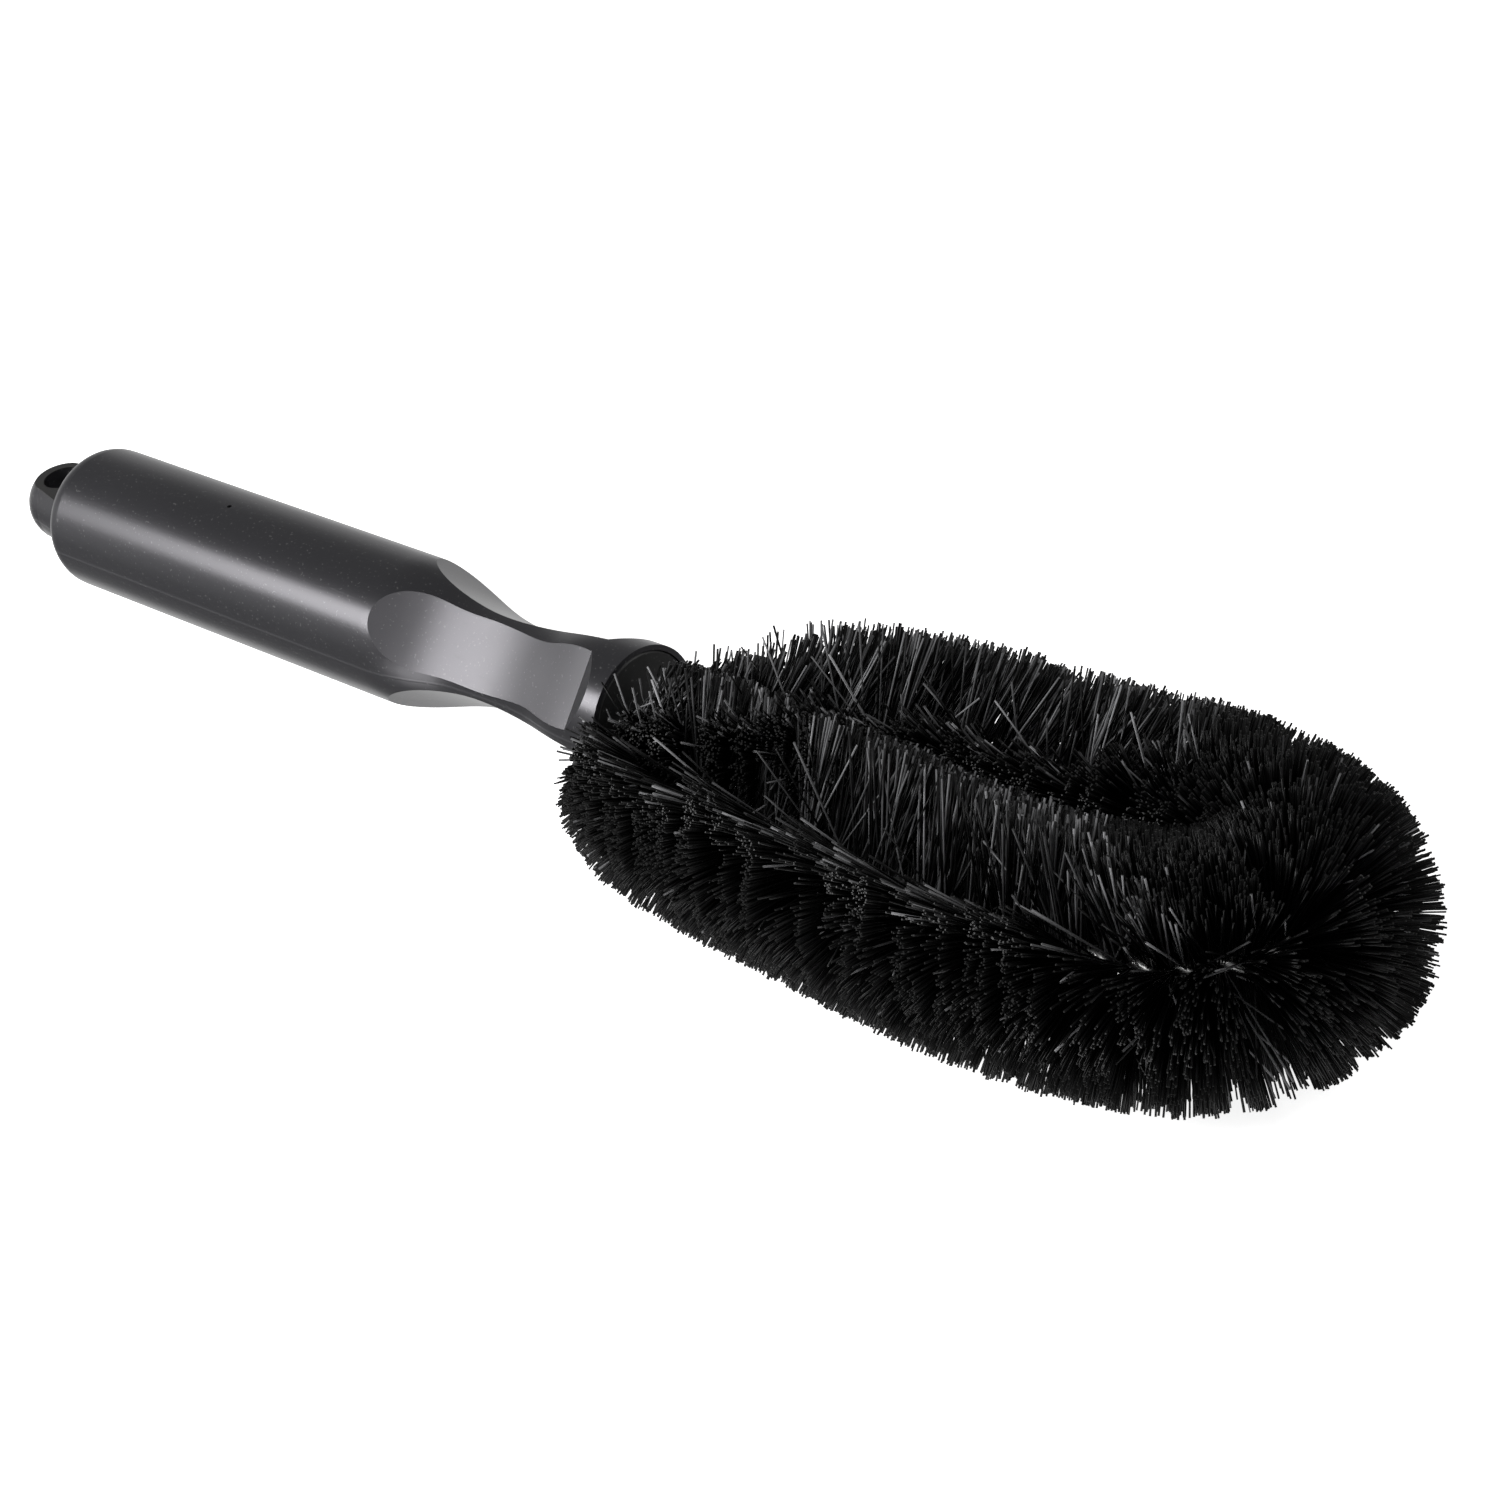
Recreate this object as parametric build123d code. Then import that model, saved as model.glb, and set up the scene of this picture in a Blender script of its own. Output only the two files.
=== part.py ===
from build123d import *
import os
from math import cos, degrees, hypot, radians, sin

# Wheel brush: a hollow moulded handle with a hanging eye, a plug in its mouth, and a
# twisted-in-wire brush bent into one long loop. Millimetres, +Z up, +X towards the head.
# While it is built, x is measured from the middle of the hanging eye's rounded end, and
# the handle's axis is y = 0, z = 0. export_nodes then moves the whole brush, so that its
# origin is the middle of its footprint, on the surface that the bristles rest on.

# ---- handle ----
GRIP_R = 17.5
EYE_TIP_X = -7.0
EYE_R = 10.0
EYE_BASE_R = 12.0
EYE_HALF_THICKNESS = 7.5
EYE_OVERLAP = 1.0
EYE_HOLE_X = 4.0
EYE_HOLE_R = 5.0
GRIP_REAR_X = 14.0
GRIP_START_X = 21.0
GRIP_END_X = 134.0
WAIST_X = 168.0
WAIST_R = 12.6
COLLAR_R = 15.5
COLLAR_X = 201.0
RIM_X = 208.0
WALL = 2.2
CAVITY_START_X = 25.0
SOCKET_START_X = 184.0
VENT_X = 74.0
VENT_R = 0.6

# The neck's outline between the grip and the collar, and the rear shoulder's, as x and radius.
NECK_OUTLINE = [(148.0, 15.6), (157.0, 13.4), (WAIST_X, WAIST_R), (184.0, 13.2)]
SHOULDER_MID = (16.8, 16.0)
SHOULDER_REAR_SLOPE = (0.35, 1)

# ---- finger flats round the neck ----
FLAT_COUNT = 4
FLAT_MID_ANGLE = 45.0
FLAT_HALF_WIDTH = 13.0

# A flat's floor from the grip to its crease, as x and height above the axis, and the top of
# the short wall that rises from the crease to the collar.
FLAT_FLOOR = [(133.0, 18.6), (141.0, 15.4), (152.0, 11.8), (165.0, 9.8), (181.0, 10.5), (199.0, 12.6)]
FLAT_WALL_TOP = (204.5, 15.9)
FLAT_CUT_HEIGHT = 30.0

# ---- plug ----
FLANGE_R = 14.2
FLANGE_THICKNESS = 3.0
FLANGE_CHAMFER = 0.5
SPIGOT_R = 9.4
SPIGOT_START_X = 186.0
TAIL_R = 6.6
TAIL_START_X = 168.0
PLUG_GAP = 0.1

# ---- wire ----
STRAND_R = 1.2
STRAND_OFFSET = 1.22
WIRE_BORE_R = 2.55
WIRE_END_X = 172.0
END_SPACING = 3.2
TIP_R = 20.0
TIP_BEND_R = 19.9
TIP_CORNER_SPARE = 0.6
TIP_X = 356.5
NEAR_BEND_R = 9.0
SIDE_BEND_R = 40.0

# ---- bristles ----
BRISTLE_R = 27.0
BRISTLE_BORE_R = 3.1
TIP_SECTIONS = 6
TIP_INNER_R = 1.0
SECTION_GAP = 0.3
COLLAR_GAP = 0.6

# The wire's route in plan: out of the plug, along the near side, round the tip and back
# along the far side. The near side leaves the plug at a wide angle, and the far side runs
# on nearly straight before it bows out.
NEAR_ROUTE = [(209.0, -END_SPACING), (222.0, -14.0), (262.0, -18.5), (306.0, -22.0), (TIP_X, -TIP_R)]
FAR_ROUTE = [(209.0, END_SPACING), (224.0, -1.0), (242.0, -1.0), (284.0, 16.0), (304.0, 18.5), (TIP_X, TIP_R)]

# How far the bristles reach from the wire at each of those points.
NEAR_REACH = [15.0, 23.5, BRISTLE_R, BRISTLE_R, BRISTLE_R]
FAR_REACH = [14.0, 21.0, 25.0, BRISTLE_R, BRISTLE_R, BRISTLE_R]

# Where the bristles of the two sides meet between the wires, in plan.
MEETING_LINE = [(200.0, 0.0), (210.0, -1.0), (222.0, -7.5), (242.0, -9.2), (284.0, -2.2), (TIP_X, 0.0)]

# Lengths that only have to be long enough for a cut.
FAR_AWAY = 80.0
RUN_SPARE = 20.0

LENGTH = TIP_X + TIP_R + BRISTLE_R - EYE_TIP_X
NEAR_EDGE = min(y for x, y in NEAR_ROUTE) - BRISTLE_R
FAR_EDGE = TIP_R + BRISTLE_R
TO_ORIGIN = Pos(-(EYE_TIP_X + LENGTH / 2), -(NEAR_EDGE + FAR_EDGE) / 2, BRISTLE_R)


def turned(outline):
    """A body of revolution about the handle's axis, from the outline of its upper half."""
    return revolve(make_face(outline), Axis.X, 360)


def round_body(inset, start_x, end_x):
    """The handle's round form with its surface moved in by inset, between two stations."""
    neck_points = [(GRIP_END_X, GRIP_R), *NECK_OUTLINE, (COLLAR_X, COLLAR_R)]
    neck = Spline(*[(x, r - inset) for x, r in neck_points], tangents=((1, 0), (1, 0)))
    grip = Line((GRIP_START_X, GRIP_R - inset), (GRIP_END_X, GRIP_R - inset))
    collar = Line((COLLAR_X, COLLAR_R - inset), (end_x, COLLAR_R - inset))
    rear = (GRIP_REAR_X, EYE_BASE_R - inset)
    shoulder_mid = (SHOULDER_MID[0], SHOULDER_MID[1] - inset)
    shoulder_end = (GRIP_START_X, GRIP_R - inset)
    shoulder = Spline(rear, shoulder_mid, shoulder_end, tangents=(SHOULDER_REAR_SLOPE, (1, 0)))
    front = Polyline((end_x, COLLAR_R - inset), (end_x, 0), (GRIP_REAR_X, 0), rear)
    body = turned(Curve() + [shoulder, grip, neck, collar, front])
    kept = Pos((start_x + end_x) / 2, 0, 0) * Box(end_x - start_x, 4 * GRIP_R, 4 * GRIP_R)
    return body & kept


def eye_body():
    """The rounded nose that carries the hanging eye, flat above and below."""
    centre_x = EYE_TIP_X + EYE_R
    root_x = GRIP_REAR_X + EYE_OVERLAP
    half = radians(45)
    nose = ThreePointArc(
        (EYE_TIP_X, 0),
        (centre_x - EYE_R * cos(half), EYE_R * sin(half)),
        (centre_x, EYE_R),
    )
    flare = Line((centre_x, EYE_R), (root_x, EYE_BASE_R))
    back = Polyline((root_x, EYE_BASE_R), (root_x, 0), (EYE_TIP_X, 0))
    body = turned(Curve() + [nose, flare, back])
    slab = Pos(centre_x, 0, 0) * Box(4 * EYE_R, 4 * EYE_R, 2 * EYE_HALF_THICKNESS)
    hole = Pos(EYE_HOLE_X, 0, 0) * Cylinder(EYE_HOLE_R, 4 * EYE_R)
    return (body & slab) - hole


def flat_cutter(inset, angle):
    """What one finger flat takes away: a long scoop that ends in a crease at the collar."""
    points = [(x, z - inset) for x, z in FLAT_FLOOR]
    wall_top = (FLAT_WALL_TOP[0], FLAT_WALL_TOP[1] - inset)
    front_top = (FLAT_WALL_TOP[0], FLAT_CUT_HEIGHT)
    rear_top = (points[0][0], FLAT_CUT_HEIGHT)
    floor = Spline(*points)
    rest = Polyline(points[-1], wall_top, front_top, rear_top, points[0])
    side_view = make_face(Plane.XZ * (Curve() + [floor, rest]))
    cutter = extrude(side_view, FLAT_HALF_WIDTH, both=True)
    return Rot(angle, 0, 0) * cutter


def finger_form(inset, start_x, end_x):
    """The grip, neck and collar with their four flats."""
    body = round_body(inset, start_x, end_x)
    for i in range(FLAT_COUNT):
        body -= flat_cutter(inset, FLAT_MID_ANGLE + i * 360 / FLAT_COUNT)
    return body


def axial(radius, x0, x1, y=0.0):
    """A cylinder along the handle's axis, or beside it."""
    return Pos((x0 + x1) / 2, y, 0) * Rot(0, 90, 0) * Cylinder(radius, x1 - x0)


def handle_shell():
    """One hollow moulding, closed at the eye and open at the collar."""
    outside = finger_form(0, GRIP_REAR_X, RIM_X) + eye_body()
    cavity = finger_form(WALL, CAVITY_START_X, SOCKET_START_X + 1)
    bore = axial(SPIGOT_R, SOCKET_START_X, RIM_X)
    pocket = axial(FLANGE_R + PLUG_GAP, RIM_X - FLANGE_THICKNESS, RIM_X + 1)
    vent = Pos(VENT_X, 0, GRIP_R) * Cylinder(VENT_R, 4 * WALL)
    return outside - cavity - bore - pocket - vent


def mouth_plug():
    """A flanged plug with two blind bores, one for each end of the brush's wire."""
    flange = axial(FLANGE_R, RIM_X - FLANGE_THICKNESS, RIM_X)
    flange = chamfer(flange.edges().filter_by(GeomType.CIRCLE).group_by(Axis.X)[-1], FLANGE_CHAMFER)
    spigot = axial(SPIGOT_R, SPIGOT_START_X, RIM_X - FLANGE_THICKNESS)
    tail = axial(TAIL_R, TAIL_START_X, SPIGOT_START_X)
    bores = [axial(WIRE_BORE_R, WIRE_END_X - 1, RIM_X + 1, y) for y in (-END_SPACING, END_SPACING)]
    return flange + spigot + tail - bores


def wire_strand(height):
    """One steel strand of the pair, from one plug bore round the loop to the other."""
    tip_corner_y = TIP_R + TIP_CORNER_SPARE
    corners = [(WIRE_END_X, -END_SPACING)]
    corners += NEAR_ROUTE[:-1]
    corners += [(TIP_X + TIP_R, -tip_corner_y), (TIP_X + TIP_R, tip_corner_y)]
    corners += FAR_ROUTE[-2::-1]
    corners += [(WIRE_END_X, END_SPACING)]
    radii = [NEAR_BEND_R, NEAR_BEND_R, SIDE_BEND_R, SIDE_BEND_R]
    radii += [TIP_BEND_R, TIP_BEND_R]
    radii += [SIDE_BEND_R, SIDE_BEND_R, SIDE_BEND_R / 2, NEAR_BEND_R, NEAR_BEND_R]
    route = FilletPolyline(*[(x, y, height) for x, y in corners], radius=radii)
    profile = Plane(origin=route @ 0, z_dir=route % 0) * Circle(STRAND_R)
    return sweep(profile, path=route)


def ahead_of(point, direction):
    """Everything ahead of an upright plane through point."""
    plane = Plane(origin=(point[0], point[1], 0), z_dir=(direction[0], direction[1], 0))
    return plane * Pos(0, 0, FAR_AWAY + SECTION_GAP / 2) * Box(2 * FAR_AWAY, 2 * FAR_AWAY, 2 * FAR_AWAY)


def unit(a, b):
    """The direction in plan from a to b."""
    length = hypot(b[0] - a[0], b[1] - a[1])
    return ((b[0] - a[0]) / length, (b[1] - a[1]) / length)


def side_region(sign):
    """The half of the head that belongs to the near side (-1) or the far side (+1)."""
    line = [(x, y + sign * SECTION_GAP / 2) for x, y in MEETING_LINE]
    outer = [(TIP_X, sign * FAR_AWAY), (GRIP_END_X, sign * FAR_AWAY), (GRIP_END_X, line[0][1])]
    return extrude(make_face(Polyline(*line, *outer, close=True)), FAR_AWAY / 2, both=True)


def run_body(start_reach, end_reach, length):
    """The round body of one straight run, carried on past both its ends to be mitred."""
    body = Cylinder(end_reach, length + 2 * RUN_SPARE)
    if start_reach == end_reach:
        return body
    growth = (end_reach - start_reach) / length * RUN_SPARE
    return body & Cone(start_reach - growth, end_reach + growth, length + 2 * RUN_SPARE)


def straight_sections(route, reach, sign):
    """The bristles on each straight run of one side, mitred where the wire turns."""
    runs = [unit(a, b) for a, b in zip(route, route[1:])]
    region = side_region(sign)
    collar = axial(COLLAR_R + COLLAR_GAP, GRIP_END_X, RIM_X + COLLAR_GAP)
    sections = []
    for i, run in enumerate(runs):
        start, end = route[i], route[i + 1]
        before = runs[i - 1] if i else run
        after = runs[i + 1] if i + 1 < len(runs) else (1.0, 0.0)
        first = (before[0] + run[0], before[1] + run[1])
        last = (-after[0] - run[0], -after[1] - run[1])
        frame = Plane(origin=(start[0], start[1], 0), z_dir=(run[0], run[1], 0))
        length = hypot(end[0] - start[0], end[1] - start[1])
        middle = frame * Pos(0, 0, length / 2)
        solid = middle * run_body(reach[i], reach[i + 1], length)
        solid &= ahead_of(start, first)
        solid &= ahead_of(end, last)
        solid &= region
        solid -= middle * Cylinder(BRISTLE_BORE_R, length + 2 * FAR_AWAY)
        if i == 0:
            solid -= collar
        sections.append(solid)
    return sections


def tip_sections():
    """The bristles round the loop's tip, as equal wedges about the bend's centre."""
    step = 180.0 / TIP_SECTIONS
    spare = degrees(SECTION_GAP / (TIP_R + BRISTLE_R))
    disc = Pos(TIP_R, 0) * (Circle(BRISTLE_R) - Circle(BRISTLE_BORE_R))
    disc &= Pos(TIP_INNER_R + FAR_AWAY / 2, 0) * Rectangle(FAR_AWAY, FAR_AWAY)
    sections = []
    for i in range(TIP_SECTIONS):
        wedge = revolve(Plane.XZ * disc, Axis.Z, step - spare)
        wedge = Rot(0, 0, -90 + i * step + spare / 2) * wedge
        sections.append(Pos(TIP_X, 0, 0) * wedge)
    return sections


def build_nodes():
    """Every node of the brush, by name."""
    nodes = {
        "handle_shell": handle_shell(),
        "mouth_plug": mouth_plug(),
        "wire_strand_upper": wire_strand(STRAND_OFFSET),
        "wire_strand_lower": wire_strand(-STRAND_OFFSET),
    }
    groups = (
        ("near", straight_sections(NEAR_ROUTE, NEAR_REACH, -1)),
        ("tip", tip_sections()),
        ("far", straight_sections(FAR_ROUTE, FAR_REACH, 1)),
    )
    for side, sections in groups:
        for i, section in enumerate(sections, 1):
            nodes[f"bristles_{side}_{i}"] = section
    return nodes


def export_nodes():
    """Write each node to its own file, in the brush's own frame."""
    os.makedirs("parts", exist_ok=True)
    for name, shape in build_nodes().items():
        export_step(TO_ORIGIN * shape, f"parts/{name}.step")


export_nodes()
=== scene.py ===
import math

import bpy
import numpy as np
from mathutils import Matrix, Vector


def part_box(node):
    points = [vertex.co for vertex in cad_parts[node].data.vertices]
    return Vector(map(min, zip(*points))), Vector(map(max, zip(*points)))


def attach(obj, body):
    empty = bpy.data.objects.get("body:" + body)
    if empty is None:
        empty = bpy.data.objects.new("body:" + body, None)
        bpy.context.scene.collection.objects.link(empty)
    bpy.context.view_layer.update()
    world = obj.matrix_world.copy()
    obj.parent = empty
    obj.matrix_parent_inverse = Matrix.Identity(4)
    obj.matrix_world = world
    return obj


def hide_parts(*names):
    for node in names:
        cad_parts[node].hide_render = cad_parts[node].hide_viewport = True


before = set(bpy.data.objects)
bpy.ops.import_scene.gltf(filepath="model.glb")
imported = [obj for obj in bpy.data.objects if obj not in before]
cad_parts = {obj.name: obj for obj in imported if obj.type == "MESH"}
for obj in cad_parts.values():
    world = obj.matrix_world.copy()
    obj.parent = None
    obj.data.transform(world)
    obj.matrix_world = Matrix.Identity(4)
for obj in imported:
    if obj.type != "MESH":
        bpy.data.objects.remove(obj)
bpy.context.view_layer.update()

# Wheel brush. The handle and its mouth plug are the CAD pieces with moulded-plastic
# materials. The wire's two strands are twisted tubes, and the bristles are separate
# filaments set round the wire. Lengths named _MM are millimetres, and the scene is in
# metres. A turn is an angle round the wire in radians, and a lean is a slope along the wire.

MM = 0.001
BODY = "root"
UP = np.array([0.0, 0.0, 1.0])
AHEAD = np.array([1.0, 0.0, 0.0])

# ---- handle ----
PLUG_TO_LIP_MM = 1.3
EYE_LENGTH_MM = 21.0
EYE_HALF_HEIGHT_MM = 7.5

# ---- the wire's route in plan, from the middle of the handle's mouth: ahead, and to the far side ----
ROUTE_MM = [
    (-36.0, -3.2), (-18.0, -3.2), (-4.0, -3.2), (0.5, -3.8),
    (8.3, -10.5), (19.4, -14.8), (31.1, -16.8), (55.0, -18.3),
    (78.8, -19.8), (102.7, -21.8), (126.5, -21.1), (138.4, -19.7),
    (150.0, -17.1), (160.5, -11.5), (167.0, -2.5), (167.7, 6.6),
    (159.2, 15.9), (146.8, 19.5), (133.9, 20.3), (108.2, 18.6),
    (82.4, 17.1), (69.7, 14.8), (57.7, 9.9), (46.1, 4.3),
    (34.3, -0.9), (22.1, -5.2), (9.3, -5.3), (0.5, 1.8),
    (-4.0, 3.2), (-18.0, 3.2), (-36.0, 3.2),
]
ROUTE_STEP_MM = 0.25
SPAN_SAMPLES = 60
TANGENT_SMOOTHING = 700

# ---- wire ----
TWIST_PITCH_MM = 16.0
STRAND_RADIUS_MM = 1.18
STRAND_OFFSET_MM = 1.21
STRAND_SIDES = 12
STRAND_RING_STEP_MM = 0.75

# ---- bristles ----
SEED = 41
BRISTLE_RADIUS_MM = 0.22
RADIUS_SPREAD = 0.07
BRISTLE_SIDES = 4
BRISTLE_RINGS = 4
STEEP = 0.8
BRISTLE_START_MM = 1.2
FIRST_BRISTLE_MM = 1.2
LONGEST_MM = 27.8
TRIM_SPREAD_MM = 0.40
TIP_BEND_MM = 0.5
BEND_POWER = 1.5
FLOOR_CLEARANCE_MM = 0.35

# The wire holds the bristles in tufts, which crowd where it bends.
TUFTS_PER_MM = 1.75
BEND_CROWDING = 9.0
BRISTLES_PER_TUFT = 50
TUFT_WIDTH_MM = 0.35
TUFT_TURN = 0.60
TUFT_LEAN = 0.014
BRISTLE_TURN = 0.35
BRISTLE_LEAN = 0.010

# Waves of lean that draw the tips together in clumps: slope, length along the wire, phase, and
# how many times the wave goes round the wire.
SWAYS = [(0.03, 26.0, 3.7, 1), (0.020, 9.5, 3.9, 2), (0.015, 4.3, 4.4, -3), (0.012, 1.7, 4.1, 5)]

# A few bristles stray from their tuft.
STRAY_SHARE = 0.035
STRAY_TURN = 0.60
STRAY_LEAN = 0.50
STRAY_BEND = 2.0

# Painted light: strays and the bristles at the parting, which catch the light, are painted paler, and the
# rest are almost black.
STRAY_SHADE_POWER = 2
LIT_SHADE_POWER = 6
LIT_LIMIT = 0.3
LIT_FALL = 0.12
PLAIN_SHADE = 0.01

# The bristles part along the top of each limb: against the share of the bristled wire, the
# parting's turn about the wire, its half-width, and how far the bristles behind it lean along the wire.
PARTING_SHARE = [0.00, 0.04, 0.26, 0.36, 0.44, 0.49, 0.60, 0.66, 0.94, 1.00]
PARTING_TURN = [1.90, 1.70, 1.66, 1.85, 2.30, 2.40, 1.57, 1.57, 1.52, 1.30]
PARTING_WIDTH = [0.75, 0.60, 0.56, 0.36, 0.15, 0.08, 0.00, 0.50, 0.52, 0.70]
PARTING_LEAN = [-0.10, -0.22, 0.02, 0.05, 0.00, 0.00, -0.30, -0.42, -0.42, -0.20]
PARTING_FULL_WIDTH = 0.50
PARTING_REACH = 1.35
PARTING_FADE = 0.7
PARTING_SPREAD = 0.22
NEAR_SIDE_SHARE = 0.5

# How the parting's line wanders (turn, length, phase) and its width varies (share, length, phase),
# and how unevenly its sides are combed.
PARTING_WANDER = [(0.07, 6.1, 1.0), (0.05, 2.7, 0.0)]
PARTING_PULSE = (0.12, 4.3, 0.5)
COMB_SPREAD = 0.05

# The bristles in front of the parting lean back along its edge, and the ones next to it are ruffled.
EDGE_LEAN = 0.50
EDGE_FALL = 0.15
EDGE_SHARE = [0.04, 0.11, 0.40, 0.50]
EDGE_STRENGTH = [0.0, 1.0, 1.0, 0.0]
RUFFLE = 0.4
RUFFLE_FALL = 0.3

# The mouth holds back the first bristles, which curve away from it: how far the tips are pushed
# ahead, over what length of wire, and what share of that the level ones are pushed.
MOUTH_PUSH_MM = 17.0
MOUTH_PUSH_LENGTH_MM = 24.0
MOUTH_PUSH_LEVEL_SHARE = 0.5
COLLAR_CLEARANCE_MM = 0.7
COLLAR_SPREAD_MM = 1.2

# How far the bristles reach from the wire, against the distance along the wire from each end.
NEAR_REACH_MM = [(0.0, 15.0), (13.0, 22.5), (32.0, 26.0), (55.0, 27.0)]
FAR_REACH_MM = [(0.0, 14.0), (14.0, 20.0), (34.0, 24.5), (62.0, 27.0)]

# Short stretches where the bristles are trimmed a little short: distance from the far end of the
# bristled wire, depth and half-width.
FAR_DIPS_MM = [(33.0, 2.0, 4.0), (98.0, 2.0, 5.0)]

# Where the far side's upright bristles stand longer: distance from the far end, extra and half-width.
FAR_CREST_MM = (50.0, 4.0, 16.0)

# Each visible stretch of bristles, with the share of the wire's bristled length it ends at, and
# the CAD nodes it stands for.
STRETCHES = [
    ("bristles_near_rear", 0.17, ["bristles_near_1", "bristles_near_2"]),
    ("bristles_near_front", 0.34, ["bristles_near_3", "bristles_near_4"]),
    ("bristles_tip_near", 0.50, ["bristles_tip_1", "bristles_tip_2", "bristles_tip_3"]),
    ("bristles_tip_far", 0.66, ["bristles_tip_4", "bristles_tip_5", "bristles_tip_6"]),
    ("bristles_far_front", 0.83, ["bristles_far_4", "bristles_far_5"]),
    ("bristles_far_rear", 1.01, ["bristles_far_1", "bristles_far_2", "bristles_far_3"]),
]

# A bristle's UV: its column across gives its painted paleness, which stands in for light, and up it runs
# from the root along the side, and then across the cut end.
SHADE_COLUMNS = 128
COLUMN_EDGE = 0.2
SIDE_TOP = 0.95
CUT_END_LOW, CUT_END_HIGH = 0.98, 1.0

# ---- surfaces: the handle's plastic reflects a little more blue than green ----
HANDLE_SPECULAR = 0.56
HANDLE_SPECULAR_TINT = (0.965, 0.940, 1.0, 1.0)
BRISTLE_SPECULAR = 0.11
FLOOR_SPECULAR = 0.1
FLOOR_GLOW = 0.86
FLOOR_HALF_SIZE = 6.0

# ---- lights: name, place, what it faces, width, depth and watts ----
LIGHTS = [
    ("key", (-0.56, -0.58, 0.44), (-0.56, 0.0, 0.03), 0.68, 0.34, 10.0),
    ("rim", (0.75, 0.65, 0.60), (-0.10, 0.0, 0.03), 0.6, 0.3, 2.5),
    ("top", (0.1, -0.5, 1.1), (0.10, 0.0, 0.03), 0.8, 0.6, 3.0),
]

# ---- the studio's surround: its brightness by direction, and where each part of it begins and ends ----
HORIZON = 0.62
OVERHEAD = 0.22
NEAR_BELOW = 0.22
BEHIND_BELOW = 1.05
OVERHEAD_Z = (0.12, 0.42)
BELOW_Z = (-0.30, 0.0)
BEHIND_Y = (-0.12, 0.08)
BEHIND_X = (-0.60, -0.35)
FRONT_GLOW = (0.10, -0.93, -0.35)
FRONT_GLOW_STRENGTH = 7.0
FRONT_GLOW_EDGE = (0.80, 0.95)

# ---- camera: its place, and its right, down and forward directions ----
CAMERA_PLACE = (0.52856, -0.41084, 0.45402)
CAMERA_RIGHT = (0.72507745, 0.6623937, -0.1884072)
CAMERA_DOWN = (0.26688365, -0.52247665, -0.8098094)
CAMERA_FORWARD = (-0.63485101, 0.53689173, -0.55561809)
CAMERA_LENS = 87.39
CAMERA_SENSOR = 36.0
CAMERA_CLIP_END = 20.0


# ---------------------------------------------------------------- curves and meshes

def unit(vectors):
    return vectors / np.linalg.norm(vectors, axis=1)[:, None]


def smooth_curve(points, step):
    """Points a fixed step apart on a centripetal Catmull-Rom curve through the given points."""
    p = np.array(points, float)
    p = np.vstack([2 * p[0] - p[1], p, 2 * p[-1] - p[-2]])
    pieces = []
    for i in range(1, len(p) - 2):
        p0, p1, p2, p3 = p[i - 1], p[i], p[i + 1], p[i + 2]
        t1 = math.dist(p0, p1) ** 0.5
        t2 = t1 + math.dist(p1, p2) ** 0.5
        t3 = t2 + math.dist(p2, p3) ** 0.5
        t = np.linspace(t1, t2, SPAN_SAMPLES, endpoint=False)[:, None]
        a1 = (t1 - t) / t1 * p0 + t / t1 * p1
        a2 = (t2 - t) / (t2 - t1) * p1 + (t - t1) / (t2 - t1) * p2
        a3 = (t3 - t) / (t3 - t2) * p2 + (t - t2) / (t3 - t2) * p3
        b1 = (t2 - t) / t2 * a1 + t / t2 * a2
        b2 = (t3 - t) / (t3 - t1) * a2 + (t - t1) / (t3 - t1) * a3
        pieces.append((t2 - t) / (t2 - t1) * b1 + (t - t1) / (t2 - t1) * b2)
    dense = np.vstack(pieces + [p[-2:-1]])
    along = np.r_[0, np.cumsum(np.linalg.norm(np.diff(dense, axis=0), axis=1))]
    s = np.arange(0, along[-1], step)
    return s, np.column_stack([np.interp(s, along, dense[:, k]) for k in range(2)])


class WirePath:
    """The wire's centre line: places and directions against the distance along it, in millimetres."""

    def __init__(self, origin):
        self.s, plan = smooth_curve(ROUTE_MM, ROUTE_STEP_MM)
        self.points = np.column_stack([plan, np.zeros(len(plan))]) + origin
        tangent = np.gradient(self.points, self.s, axis=0)
        for _ in range(TANGENT_SMOOTHING):
            tangent[1:-1] = (tangent[:-2] + 2 * tangent[1:-1] + tangent[2:]) / 4
        self.tangents = unit(tangent)
        self.bending = np.linalg.norm(np.gradient(self.tangents, self.s, axis=0), axis=1)
        bristled = np.nonzero(plan[:, 0] > FIRST_BRISTLE_MM)[0]
        self.first, self.last = self.s[bristled[0]], self.s[bristled[-1]]

    def at(self, s):
        """(place, tangent, level normal) at the distances s."""
        place = np.column_stack([np.interp(s, self.s, self.points[:, k]) for k in range(3)])
        tangent = unit(np.column_stack([np.interp(s, self.s, self.tangents[:, k]) for k in range(3)]))
        normal = np.column_stack([-tangent[:, 1], tangent[:, 0], np.zeros(len(s))])
        return place, tangent, normal

    def share(self, s):
        """The share of the bristled length at the distances s."""
        return (s - self.first) / (self.last - self.first)


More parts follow.
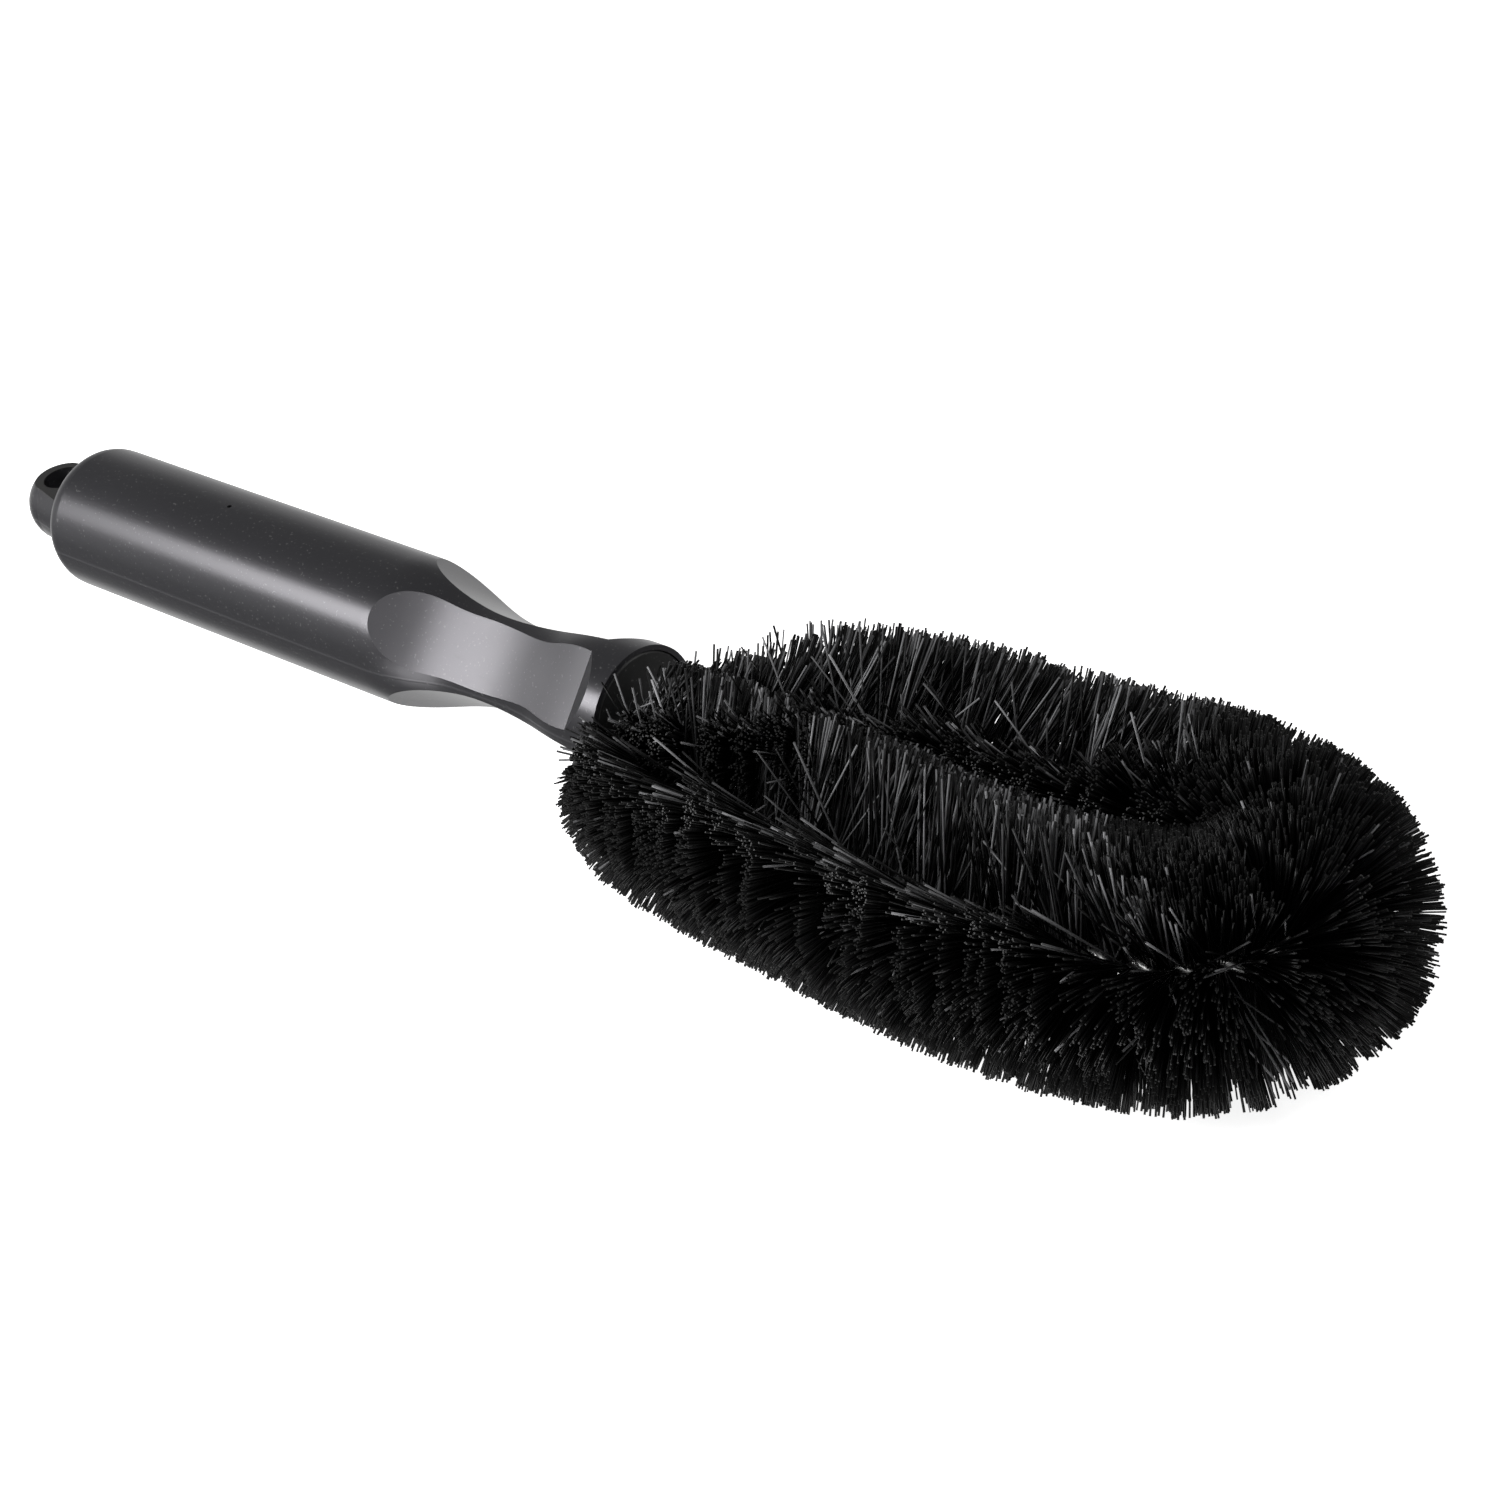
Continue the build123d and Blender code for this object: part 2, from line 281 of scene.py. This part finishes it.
def new_mesh(name, vertices, quads, uv=None, flat=None):
    """An object from vertices in millimetres, four-sided faces, face-corner UVs and a mask of flat faces."""
    mesh = bpy.data.meshes.new(name)
    mesh.vertices.add(len(vertices))
    mesh.vertices.foreach_set("co", (vertices * MM).astype(np.float32).ravel())
    mesh.loops.add(quads.size)
    mesh.loops.foreach_set("vertex_index", quads.astype(np.int32).ravel())
    mesh.polygons.add(len(quads))
    mesh.polygons.foreach_set("loop_start", np.arange(0, quads.size, 4, dtype=np.int32))
    smooth = np.ones(len(quads), bool) if flat is None else ~flat
    mesh.polygons.foreach_set("use_smooth", smooth)
    mesh.update(calc_edges=True)
    if uv is not None:
        layer = mesh.uv_layers.new(name="OFBake")
        layer.data.foreach_set("uv", uv.astype(np.float32).ravel())
    piece = bpy.data.objects.new(name, mesh)
    bpy.context.scene.collection.objects.link(piece)
    return piece


# ---------------------------------------------------------------- the twisted wire

def strand_mesh(path, name, phase):
    """One strand of the wire, wound round the wire's centre line from one blind bore to the other."""
    s = np.arange(path.s[0], path.s[-1], STRAND_RING_STEP_MM)
    place, tangent, normal = path.at(s)
    turn = 2 * math.pi * s / TWIST_PITCH_MM + phase
    out = np.cos(turn)[:, None] * normal + np.sin(turn)[:, None] * UP
    side = -np.sin(turn)[:, None] * normal + np.cos(turn)[:, None] * UP
    centre = place + STRAND_OFFSET_MM * out
    slope = 2 * math.pi * STRAND_OFFSET_MM / TWIST_PITCH_MM
    along = unit(tangent + slope * side)
    across = np.cross(along, out)
    angle = 2 * math.pi * np.arange(STRAND_SIDES) / STRAND_SIDES
    ring = np.cos(angle)[None, :, None] * out[:, None, :] + np.sin(angle)[None, :, None] * across[:, None, :]
    vertices = (centre[:, None, :] + STRAND_RADIUS_MM * ring).reshape(-1, 3)
    return new_mesh(name, vertices, tube_faces(len(s), STRAND_SIDES))


def tube_faces(rows, sides):
    """The faces of a tube of rings, with both its ends closed."""
    i, j = np.meshgrid(np.arange(rows - 1), np.arange(sides), indexing="ij")
    k = (j + 1) % sides
    corners = [i * sides + j, (i + 1) * sides + j, (i + 1) * sides + k, i * sides + k]
    wall = np.stack(corners, -1).reshape(-1, 4)
    start = np.array([[a, a + 1, sides - 2 - a, sides - 1 - a] for a in range(sides // 2 - 1)])
    end = start[:, ::-1] + (rows - 1) * sides
    return np.vstack([wall, start, end])


# ---------------------------------------------------------------- the bristles

def reach_at(path, s, turn, rng):
    """How long each bristle is cut, from where it leaves the wire."""
    near = np.interp(s - path.first, *np.array(NEAR_REACH_MM).T)
    far = np.interp(path.last - s, *np.array(FAR_REACH_MM).T)
    for centre, depth, half_width in FAR_DIPS_MM:
        far = far - depth * np.exp(-(((path.last - s) - centre) / half_width) ** 2)
    trim = rng.normal(0, TRIM_SPREAD_MM, len(s))
    centre, extra, half_width = FAR_CREST_MM
    crest = extra * np.exp(-(((path.last - s) - centre) / half_width) ** 2) * np.clip(np.sin(turn), 0, 1)
    return np.minimum(np.minimum(near, far) + trim, LONGEST_MM) + crest


def tuft_aims(path, rng):
    """(distance along the wire, turn about it, lean along it) of every tuft."""
    bristled = (path.s > path.first) & (path.s < path.last)
    crowd = np.where(bristled, 1 + BEND_CROWDING * path.bending, 0.0)
    reached = np.cumsum(crowd) * ROUTE_STEP_MM
    count = int(reached[-1] * TUFTS_PER_MM)
    s = np.interp((np.arange(count) + rng.random(count)) / count * reached[-1], reached, path.s)
    side = np.arange(count) % 2 * math.pi
    turn = 2 * math.pi * s / TWIST_PITCH_MM + math.pi / 2 + side + rng.normal(0, TUFT_TURN, count)
    return s, turn, rng.normal(0, TUFT_LEAN, count)


def bristle_aims(path, rng):
    """(distance along the wire, turn, lean, stray or not, painted paleness) of every bristle."""
    tuft_s, tuft_turn, tuft_lean = tuft_aims(path, rng)
    count = len(tuft_s) * BRISTLES_PER_TUFT
    s = np.repeat(tuft_s, BRISTLES_PER_TUFT) + rng.normal(0, TUFT_WIDTH_MM, count)
    s = np.clip(s, path.first, path.last)
    turn = np.repeat(tuft_turn, BRISTLES_PER_TUFT) + rng.normal(0, BRISTLE_TURN, count)
    lean = np.repeat(tuft_lean, BRISTLES_PER_TUFT) + rng.normal(0, BRISTLE_LEAN, count)
    for slope, length, phase, rounds in SWAYS:
        lean += slope * np.sin(2 * math.pi * s / length + phase + rounds * turn)
    turn, lean, lit = parted(path, s, turn, lean, rng)
    stray = rng.random(count) < STRAY_SHARE
    turn = np.where(stray, turn + rng.normal(0, STRAY_TURN, count), turn)
    lean = np.where(stray, rng.normal(0, STRAY_LEAN, count), lean)
    # Painted light: the bristles at the parting and the strays get paler colours because they would catch the
    # light; the rest stay almost black.
    painted_light = rng.random(count)
    tidy_painted_light = np.where(lit > LIT_LIMIT, painted_light ** LIT_SHADE_POWER, PLAIN_SHADE * painted_light)
    painted_light = np.where(stray, painted_light ** STRAY_SHADE_POWER, tidy_painted_light)
    return s, turn, lean, stray, painted_light


def parted(path, s, turn, lean, rng):
    """Combs the bristles away from the parting, and leans those behind it: (turn, lean, how lit)."""
    share = path.share(s)
    middle = np.interp(share, PARTING_SHARE, PARTING_TURN)
    middle += sum(size * np.sin(s / length + phase) for size, length, phase in PARTING_WANDER)
    pulse, length, phase = PARTING_PULSE
    width = np.interp(share, PARTING_SHARE, PARTING_WIDTH) * (1 + pulse * np.sin(s / length + phase))
    offset = (turn - middle + math.pi) % (2 * math.pi) - math.pi
    away = np.abs(offset)
    combed = np.where(away < PARTING_REACH, width + away * (1 - width / PARTING_REACH), away)
    combed += rng.normal(0, COMB_SPREAD, len(s))
    openness = np.clip(width / PARTING_FULL_WIDTH, 0, 1)
    behind = np.where(share < NEAR_SIDE_SHARE, offset < 0, offset > 0) & (away < PARTING_REACH)
    strength = np.where(behind, openness * (1 - PARTING_FADE * away / PARTING_REACH), 0.0)
    lean = lean + strength * np.interp(share, PARTING_SHARE, PARTING_LEAN)
    edge = np.where(behind, 0.0, openness * np.exp(-away / EDGE_FALL))
    lean -= EDGE_LEAN * edge * np.interp(share, EDGE_SHARE, EDGE_STRENGTH)
    ruffle = np.maximum(strength, RUFFLE * openness * np.exp(-away / RUFFLE_FALL))
    lean += ruffle * rng.normal(0, PARTING_SPREAD, len(s))
    lit = np.maximum(strength, openness * np.exp(-away / LIT_FALL))
    return middle + np.sign(offset) * combed, lean, lit


def bristle_lines(path, mouth):
    """Every bristle's (centre line, distance along the wire, painted paleness). Lines are by bristle, ring,
    xyz.
    """
    rng = np.random.default_rng(SEED)
    s, turn, lean, stray, painted_light = bristle_aims(path, rng)
    place, tangent, normal = path.at(s)
    out = np.cos(turn)[:, None] * normal + np.sin(turn)[:, None] * UP
    direction = unit(out + lean[:, None] * tangent)
    bend = tip_bend(direction, tangent, stray, rng)
    bend += mouth_push(path, s, turn)[:, None] * AHEAD
    length = reach_at(path, s, turn, rng)
    t = np.linspace(0, 1, BRISTLE_RINGS)[None, :, None]
    run = BRISTLE_START_MM + (length[:, None, None] - BRISTLE_START_MM) * t
    lines = place[:, None, :] + direction[:, None, :] * run + bend[:, None, :] * t ** BEND_POWER
    lines = clear_of_collar(lines, mouth, rng)
    lines[:, :, 2] = np.maximum(lines[:, :, 2], FLOOR_CLEARANCE_MM)
    return lines, s, painted_light


def tip_bend(direction, tangent, stray, rng):
    """How far each bristle's tip is bent aside, most for the strays."""
    count = len(direction)
    bend_turn = rng.random(count) * 2 * math.pi
    swing = unit(np.cross(direction, tangent))
    across = np.cross(direction, swing)
    bend = np.cos(bend_turn)[:, None] * swing + np.sin(bend_turn)[:, None] * across
    bend *= np.abs(rng.normal(0, TIP_BEND_MM, count))[:, None]
    return bend * np.where(stray, STRAY_BEND, 1.0)[:, None]


def mouth_push(path, s, turn):
    """How far ahead the mouth pushes each bristle's tip: most for the first ones that stand up."""
    from_mouth = np.minimum(s - path.first, path.last - s)
    nearness = np.clip(1 - from_mouth / MOUTH_PUSH_LENGTH_MM, 0, 1)
    upright = np.clip(MOUTH_PUSH_LEVEL_SHARE + np.sin(turn), 0, 1)
    return MOUTH_PUSH_MM * nearness * upright


def clear_of_collar(lines, mouth, rng):
    """Bends the bristles that would run into the plug or the collar round its lip."""
    rim, axis_y, axis_z, lip = mouth
    spare = rng.random(len(lines))[:, None] * COLLAR_SPREAD_MM
    front = rim + COLLAR_CLEARANCE_MM + spare
    outside = lip + COLLAR_CLEARANCE_MM + spare
    dy = lines[:, :, 1] - axis_y
    dz = lines[:, :, 2] - axis_z
    radius = np.maximum(np.hypot(dy, dz), 1e-6)
    forward_needed = front - lines[:, :, 0]
    outward_needed = outside - radius
    hit = (forward_needed > 0) & (outward_needed > 0)
    ahead = hit & (forward_needed <= outward_needed)
    lines[:, :, 0] = np.where(ahead, front, lines[:, :, 0])
    scale = np.where(hit & ~ahead, outside / radius, 1.0)
    lines[:, :, 1] = axis_y + dy * scale
    lines[:, :, 2] = axis_z + dz * scale
    return lines


def bristle_mesh(name, lines, painted_light, rng):
    """One mesh of many filaments: a thin prism along each line, closed by a cut end."""
    count = len(lines)
    direction = unit(lines[:, -1] - lines[:, 0])
    helper = np.where(np.abs(direction[:, 2:]) < STEEP, UP, AHEAD)
    u = unit(np.cross(direction, helper))
    v = np.cross(direction, u)
    spin = rng.random(count)[:, None] * math.pi
    angle = spin + 2 * math.pi * np.arange(BRISTLE_SIDES)[None, :] / BRISTLE_SIDES
    radius = BRISTLE_RADIUS_MM * rng.normal(1.0, RADIUS_SPREAD, count)
    ring = np.cos(angle)[:, :, None] * u[:, None, :] + np.sin(angle)[:, :, None] * v[:, None, :]
    ring *= radius[:, None, None]
    vertices = (lines[:, :, None, :] + ring[:, None, :, :]).reshape(-1, 3)
    quads, corner_v = prism_faces()
    per_bristle = BRISTLE_RINGS * BRISTLE_SIDES
    all_quads = (quads[None, :, :] + per_bristle * np.arange(count)[:, None, None]).reshape(-1, 4)
    column = (np.floor(painted_light * (SHADE_COLUMNS - 1)) + 0.5) / SHADE_COLUMNS
    uv = np.empty((count, len(quads), 4, 2))
    uv[..., 0] = column[:, None, None] + COLUMN_EDGE * np.array([-1, -1, 1, 1]) / SHADE_COLUMNS
    uv[..., 1] = corner_v[None]
    cut_ends = np.tile(np.arange(len(quads)) == len(quads) - 1, count)
    return new_mesh(name, vertices, all_quads, uv.reshape(-1, 2), cut_ends)


def prism_faces():
    """One bristle's faces, the cut end last, and each face corner's UV height."""
    quads, corner_v = [], []
    spans = BRISTLE_RINGS - 1
    for ring in range(spans):
        low, high = SIDE_TOP * ring / spans, SIDE_TOP * (ring + 1) / spans
        for side in range(BRISTLE_SIDES):
            a = ring * BRISTLE_SIDES + side
            b = ring * BRISTLE_SIDES + (side + 1) % BRISTLE_SIDES
            quads.append([a, b, b + BRISTLE_SIDES, a + BRISTLE_SIDES])
            corner_v.append([low, low, high, high])
    last = spans * BRISTLE_SIDES
    quads.append([last, last + 1, last + 2, last + 3])
    corner_v.append([CUT_END_LOW, CUT_END_LOW, CUT_END_HIGH, CUT_END_HIGH])
    return np.array(quads), np.array(corner_v)


# ---------------------------------------------------------------- materials

class NodeTree:
    """Short ways to add nodes to a node tree."""

    def __init__(self, tree):
        self.nodes = tree.nodes
        self.links = tree.links

    def node(self, kind, inputs=None, **settings):
        made = self.nodes.new(kind)
        for key, value in settings.items():
            setattr(made, key, value)
        for key, value in (inputs or {}).items():
            self.feed(made, key, value)
        return made

    def feed(self, node, key, value):
        """Sets an input from a number, a colour or another node's output."""
        if isinstance(value, bpy.types.NodeSocket):
            self.links.new(value, node.inputs[key])
        else:
            node.inputs[key].default_value = value

    def math(self, operation, a, b=0.0):
        return self.node("ShaderNodeMath", {0: a, 1: b}, operation=operation).outputs[0]

    def split(self, vector):
        """The vector's x, y and z."""
        return self.node("ShaderNodeSeparateXYZ", {0: vector}).outputs

    def mapped(self, value, span, to_span, interpolation="LINEAR"):
        """The value, mapped from one span to another and held at its ends."""
        inputs = {"Value": value, 1: span[0], 2: span[1], 3: to_span[0], 4: to_span[1]}
        return self.node("ShaderNodeMapRange", inputs, interpolation_type=interpolation).outputs["Result"]


class Shader(NodeTree):
    """A material with a Principled shader."""

    def __init__(self, name):
        self.material = bpy.data.materials.new(name)
        self.material.use_nodes = True
        super().__init__(self.material.node_tree)
        self.shader = self.nodes["Principled BSDF"]

    def set(self, key, value):
        self.shader.inputs[key].default_value = value

    def mix(self, factor, a, b):
        return self.node("ShaderNodeMix", {0: factor, 6: a, 7: b}, data_type="RGBA").outputs[2]

    def place(self):
        """Coordinates on the object, in metres."""
        return self.node("ShaderNodeTexCoord").outputs["Object"]

    def stretched(self, vector, scale):
        return self.node("ShaderNodeVectorMath", {0: vector, 1: scale}, operation="MULTIPLY").outputs[0]

    def noise(self, vector, scale, detail=2.0, roughness=0.5):
        inputs = {"Vector": vector, "Scale": scale, "Detail": detail, "Roughness": roughness}
        return self.node("ShaderNodeTexNoise", inputs).outputs["Fac"]

    def finish(self, colour, roughness, height=None, bump=0.1, distance=0.0002):
        self.feed(self.shader, "Base Color", colour)
        self.feed(self.shader, "Roughness", roughness)
        if height is not None:
            made = self.node("ShaderNodeBump", {"Strength": bump, "Distance": distance, "Height": height})
            self.links.new(made.outputs[0], self.shader.inputs["Normal"])
        return self.material


def grey(value, blue=1.0):
    return (value, value, value * blue, 1.0)


def handle_material(axis_z, eye_end_x, eye_half_height):
    """Dark satin moulded plastic, with flow marks, fine handling scratches and a parting line."""
    m = Shader("handle_plastic")
    vector = m.place()
    x, _, z = m.split(vector)
    clouds = m.noise(vector, scale=34.0, detail=3.0)
    fine = m.noise(vector, scale=950.0)
    scratches = m.noise(m.stretched(vector, (90.0, 2600.0, 2600.0)), scale=1.0, detail=3.0, roughness=0.6)
    scratch = m.mapped(scratches, (0.66, 0.74), (0.0, 1.0))
    specks = m.mapped(m.noise(vector, scale=1700.0, detail=0.0), (0.74, 0.80), (0.0, 1.0))
    from_axis = m.math("ABSOLUTE", m.math("SUBTRACT", z, axis_z))
    seam = m.mapped(from_axis, (0.00012, 0.00042), (1.0, 0.0))
    # Painted shade: the flat faces of the eye get a darker, less blue base; they are also rougher.
    on_eye = m.mapped(x, (eye_end_x - 0.0004, eye_end_x), (1.0, 0.0))
    on_face = m.mapped(from_axis, (eye_half_height - 0.0005, eye_half_height - 0.0001), (0.0, 1.0))
    eye_face = m.math("MULTIPLY", on_eye, on_face)
    base = m.mix(clouds, grey(0.013, 1.12), grey(0.016, 1.12))
    base = m.mix(m.math("MULTIPLY", specks, 0.5), base, grey(0.10))
    base = m.mix(m.math("MULTIPLY", seam, 0.25), base, grey(0.07, 1.05))
    base = m.mix(eye_face, base, grey(0.010, 0.92))
    rough = m.mapped(clouds, (0.3, 0.7), (0.28, 0.29))
    rough = m.math("ADD", rough, m.math("MULTIPLY", scratch, 0.08))
    rough = m.math("ADD", rough, m.math("MULTIPLY", eye_face, 0.10))
    height = m.math("ADD", m.math("MULTIPLY", fine, 0.10), m.math("MULTIPLY", scratch, -0.12))
    height = m.math("ADD", height, m.math("MULTIPLY", seam, 0.9))
    m.set("Specular IOR Level", HANDLE_SPECULAR)
    m.set("Specular Tint", HANDLE_SPECULAR_TINT)
    return m.finish(base, rough, height, bump=0.35, distance=0.0001)


def plug_material():
    """Black moulded plastic with faint mottling and dust."""
    m = Shader("plug_plastic")
    vector = m.place()
    clouds = m.noise(vector, scale=160.0, detail=3.0)
    dust = m.mapped(m.noise(vector, scale=1500.0, detail=1.0), (0.68, 0.76), (0.0, 1.0))
    base = m.mix(clouds, grey(0.006), grey(0.012))
    base = m.mix(m.math("MULTIPLY", dust, 0.6), base, grey(0.09))
    rough = m.mapped(clouds, (0.3, 0.7), (0.42, 0.55))
    return m.finish(base, rough, m.noise(vector, scale=620.0), bump=0.15, distance=0.0001)


def wire_material():
    """Drawn and galvanised steel wire: bright, with dull patches and a fine grain."""
    m = Shader("wire_steel")
    vector = m.place()
    patches = m.noise(vector, scale=420.0, detail=3.0)
    grain = m.noise(vector, scale=2400.0, detail=1.0)
    base = m.mix(patches, grey(0.42, 0.98), grey(0.72, 1.0))
    rough = m.mapped(patches, (0.3, 0.7), (0.20, 0.38))
    m.set("Metallic", 1.0)
    return m.finish(base, rough, grain, bump=0.12, distance=0.00005)


def bristle_material():
    """Stiff black filament with painted light: the bristles that would catch the light painted paler, painted
    shade darkening each towards its root, and some with a paler cut end, partly painted highlight.
    """
    m = Shader("bristle_filament")
    painted_light, height, _ = m.split(m.node("ShaderNodeUVMap", uv_map="OFBake").outputs[0])
    # Painted light: the paleness from the UV column lightens the bristles that would catch the light.
    base = m.mix(painted_light, grey(0.0007), grey(0.330, 1.03))
    # Painted shade: each bristle darkens towards its root, deep in the brush.
    from_root = m.mapped(height, (0.0, 0.55), (0.45, 1.0))
    base = m.mix(from_root, grey(0.0006), base)
    # Paler cut ends, partly the pale cut filament and partly painted highlight on the lit ends: a few are
    # much paler than the rest.
    dot = m.node("ShaderNodeTexWhiteNoise", {"W": m.math("MULTIPLY", painted_light, 977.0)}, noise_dimensions="1D")
    dot = m.math("POWER", dot.outputs["Value"], 5.0)
    cut_end = m.mapped(height, (0.955, 0.975), (0.0, 1.0))
    base = m.mix(cut_end, base, m.mix(dot, grey(0.002), grey(0.060)))
    rough = m.mapped(painted_light, (0.0, 1.0), (0.30, 0.18))
    m.set("Specular IOR Level", BRISTLE_SPECULAR)
    return m.finish(base, rough)


def floor_material():
    """A pale matt studio surface that glows a little, so that shadows stay faint."""
    m = Shader("studio_floor")
    base = m.mix(m.noise(m.place(), scale=60.0), grey(0.90), grey(0.92))
    m.set("Specular IOR Level", FLOOR_SPECULAR)
    m.set("Emission Color", grey(1.0))
    m.set("Emission Strength", FLOOR_GLOW)
    return m.finish(base, 0.9)


# ---------------------------------------------------------------- studio

def add_camera():
    camera = bpy.data.cameras.new("camera")
    camera.lens = CAMERA_LENS
    camera.sensor_width = CAMERA_SENSOR
    camera.clip_end = CAMERA_CLIP_END
    rig = bpy.data.objects.new("camera", camera)
    right, down, forward = (Vector(v) for v in (CAMERA_RIGHT, CAMERA_DOWN, CAMERA_FORWARD))
    turn = Matrix((right, -down, -forward)).transposed().to_4x4()
    rig.matrix_world = Matrix.Translation(CAMERA_PLACE) @ turn
    bpy.context.scene.collection.objects.link(rig)
    bpy.context.scene.camera = rig


def add_lights():
    """A long key softbox along the handle's near side, a rim light behind, and a soft fill above."""
    for name, place, target, width, depth, watts in LIGHTS:
        light = bpy.data.lights.new(name, "AREA")
        light.shape = "RECTANGLE"
        light.size = width
        light.size_y = depth
        light.energy = watts
        lamp = bpy.data.objects.new(name, light)
        aim = (Vector(target) - Vector(place)).to_track_quat("-Z", "Y").to_matrix().to_4x4()
        lamp.matrix_world = Matrix.Translation(place) @ aim
        bpy.context.scene.collection.objects.link(lamp)


def add_world():
    """The studio's surround: pale at the horizon, dim overhead, and pale again below and behind the brush."""
    world = bpy.data.worlds.new("studio")
    world.use_nodes = True
    bpy.context.scene.world = world
    w = NodeTree(world.node_tree)

    def ramp(value, span, to_span):
        return w.mapped(value, span, to_span, "SMOOTHSTEP")

    direction = w.node("ShaderNodeTexCoord").outputs["Generated"]
    x, y, z = w.split(direction)
    above = ramp(z, OVERHEAD_Z, (0.0, 1.0))
    below = ramp(z, BELOW_Z, (1.0, 0.0))
    behind = w.math("MULTIPLY", below, ramp(y, BEHIND_Y, (0.0, 1.0)))
    behind = w.math("MULTIPLY", behind, ramp(x, BEHIND_X, (1.0, 0.0)))
    front = w.node("ShaderNodeVectorMath", {0: direction, 1: FRONT_GLOW}, operation="DOT_PRODUCT")
    glow = ramp(front.outputs["Value"], FRONT_GLOW_EDGE, (0.0, FRONT_GLOW_STRENGTH))
    glow = w.math("MULTIPLY", glow, below)
    strength = w.math("SUBTRACT", HORIZON, w.math("MULTIPLY", above, HORIZON - OVERHEAD))
    strength = w.math("SUBTRACT", strength, w.math("MULTIPLY", below, HORIZON - NEAR_BELOW))
    strength = w.math("ADD", strength, w.math("MULTIPLY", behind, BEHIND_BELOW - NEAR_BELOW))
    strength = w.math("ADD", strength, glow)
    background = w.nodes["Background"]
    w.feed(background, "Strength", strength)
    w.feed(background, "Color", grey(1.0))


def add_floor():
    """The floor. Glossy surfaces reflect the surround in its place."""
    plan = np.array([(-1, -1, 0), (1, -1, 0), (1, 1, 0), (-1, 1, 0)])
    floor = new_mesh("studio_floor", plan * FLOOR_HALF_SIZE / MM, np.array([[0, 1, 2, 3]]))
    floor.data.materials.append(floor_material())
    floor.visible_glossy = False


# ---------------------------------------------------------------- the brush

def repaint(node, material):
    """Gives a CAD piece its material."""
    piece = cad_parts[node]
    piece.data.materials.clear()
    piece.data.materials.append(material)


def add_wire(path):
    material = wire_material()
    pairs = (("wire_strand_a", "wire_strand_upper", 0.0), ("wire_strand_b", "wire_strand_lower", math.pi))
    for name, node, phase in pairs:
        strand = strand_mesh(path, name, phase)
        strand.data.materials.append(material)
        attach(strand, BODY)
        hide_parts(node)


def add_bristles(path, mouth):
    material = bristle_material()
    lines, s, painted_light = bristle_lines(path, mouth)
    share = path.share(s)
    rng = np.random.default_rng(SEED + 1)
    begin = 0.0
    for name, end, stands_for in STRETCHES:
        chosen = (share >= begin) & (share < end)
        piece = bristle_mesh(name, lines[chosen], painted_light[chosen], rng)
        piece.data.materials.append(material)
        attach(piece, BODY)
        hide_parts(*stands_for)
        begin = end


def build():
    low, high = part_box("handle_shell")
    plug_low, plug_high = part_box("mouth_plug")
    axis_y = (low.y + high.y) / 2
    axis_z = (low.z + high.z) / 2
    lip = (plug_high.y - plug_low.y) / 2 + PLUG_TO_LIP_MM * MM
    mouth = (high.x / MM, axis_y / MM, axis_z / MM, lip / MM)
    path = WirePath(np.array(mouth[:3]))
    handle = handle_material(axis_z, low.x + EYE_LENGTH_MM * MM, EYE_HALF_HEIGHT_MM * MM)
    repaint("handle_shell", handle)
    repaint("mouth_plug", plug_material())
    add_wire(path)
    add_bristles(path, mouth)


bpy.context.scene.view_settings.view_transform = "Standard"
add_camera()
build()
add_floor()
add_lights()
add_world()
